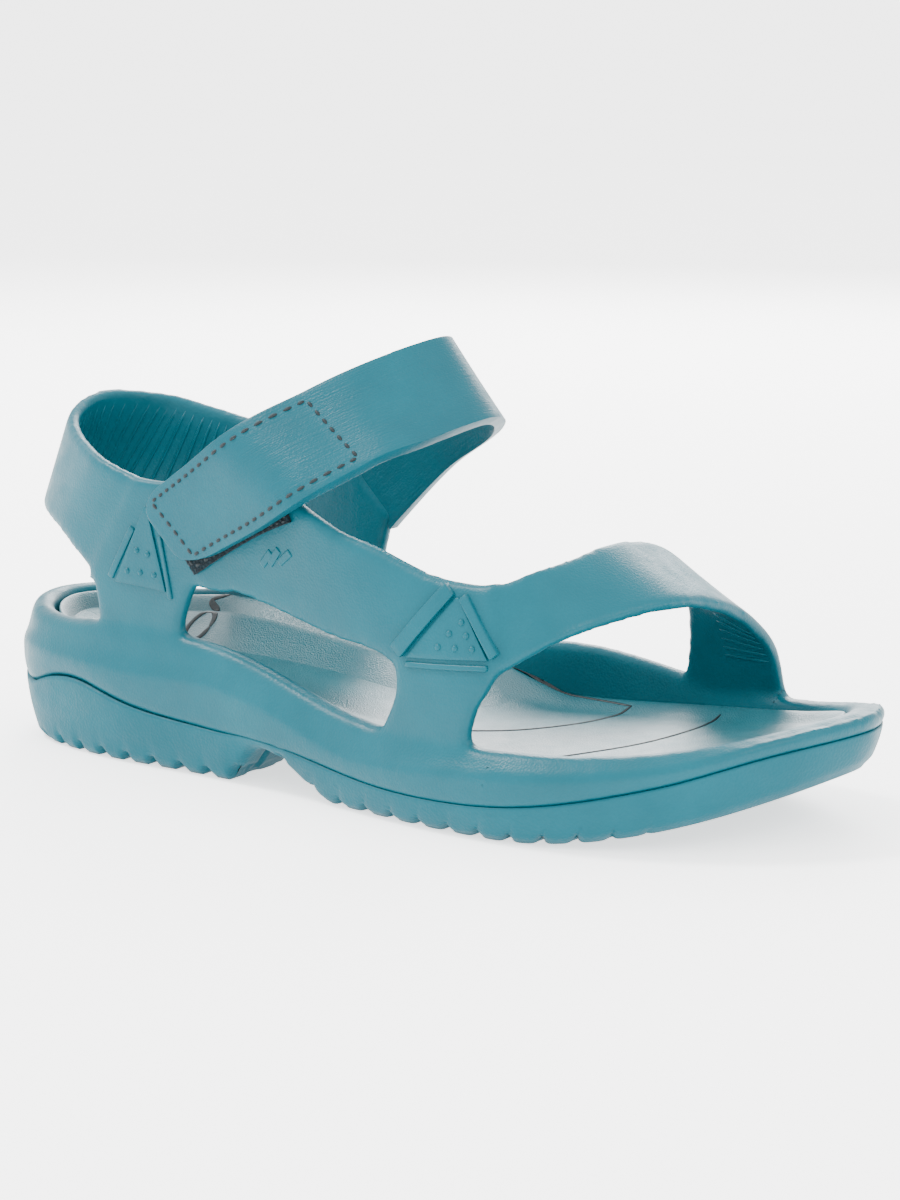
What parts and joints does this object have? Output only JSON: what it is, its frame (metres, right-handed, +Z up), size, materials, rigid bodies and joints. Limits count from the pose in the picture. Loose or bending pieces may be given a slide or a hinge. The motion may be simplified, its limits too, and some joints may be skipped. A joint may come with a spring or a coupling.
{
  "type": "strappy sport sandal",
  "caption": "Right-foot sport sandal with a moulded foam sole, a toe band, a heel band and an instep strap that closes with hook-and-loop tape.",
  "frame": {"origin": "on the ground, under the middle of the box of the whole sandal", "axes": "+X from the heel to the toe, +Y to the inner side of the foot, +Z up"},
  "size_m": [0.288, 0.11, 0.1321],
  "materials": {
    "foam_upper": "satin moulded foam with a fine lined texture",
    "foam_outsole": "matt moulded foam tread",
    "foam_footbed": "fine-grained foam with a soft gloss",
    "tape": "dark woven hook and loop tape",
    "thread": "dark teal sewing thread"
  },
  "bodies": {
    "shoe": {"outsole_heel": "foam_outsole", "outsole_forefoot": "foam_outsole", "midsole": "foam_upper", "footbed": "foam_footbed", "lateral_front_post": "foam_upper", "lateral_side_strap": "foam_upper", "lateral_rear_post": "foam_upper", "lateral_ankle_panel": "foam_upper", "medial_front_post": "foam_upper", "medial_rear_post": "foam_upper", "medial_ankle_panel": "foam_upper", "toe_strap": "foam_upper", "heel_strap": "foam_upper", "instep_strap_inner": "foam_upper", "loop_tape": "tape", "loop_stitching": "thread"},
    "toe": {"outsole_toe": "foam_outsole", "midsole_toe": "foam_upper", "footbed_toe": "foam_footbed"},
    "strap": {"instep_strap_outer": "foam_upper"},
    "flap": {"instep_flap": "foam_upper", "hook_tape": "tape", "hook_stitching": "thread"}
  },
  "joints": [
    {"name": "toe_flex", "type": "hinge", "parent": "shoe", "child": "toe", "pos_m": [0.07992, 0.00029, 0.0305], "axis": [-0.3521, -0.936, 0], "range_deg": [0, 35], "stiffness_Nm_per_rad": 3},
    {"name": "strap_open", "type": "hinge", "parent": "shoe", "child": "strap", "pos_m": [0.01621, 0.00765, 0.12104], "axis": [-0.6217, -0.0001, 0.7833], "range_deg": [0, 75], "stiffness_Nm_per_rad": 0.06},
    {"name": "flap_peel", "type": "hinge", "parent": "strap", "child": "flap", "pos_m": [-0.00367, -0.03117, 0.11104], "axis": [-0.814, 0.1369, 0.5645], "range_deg": [0, 110], "stiffness_Nm_per_rad": 0.02}
  ]
}
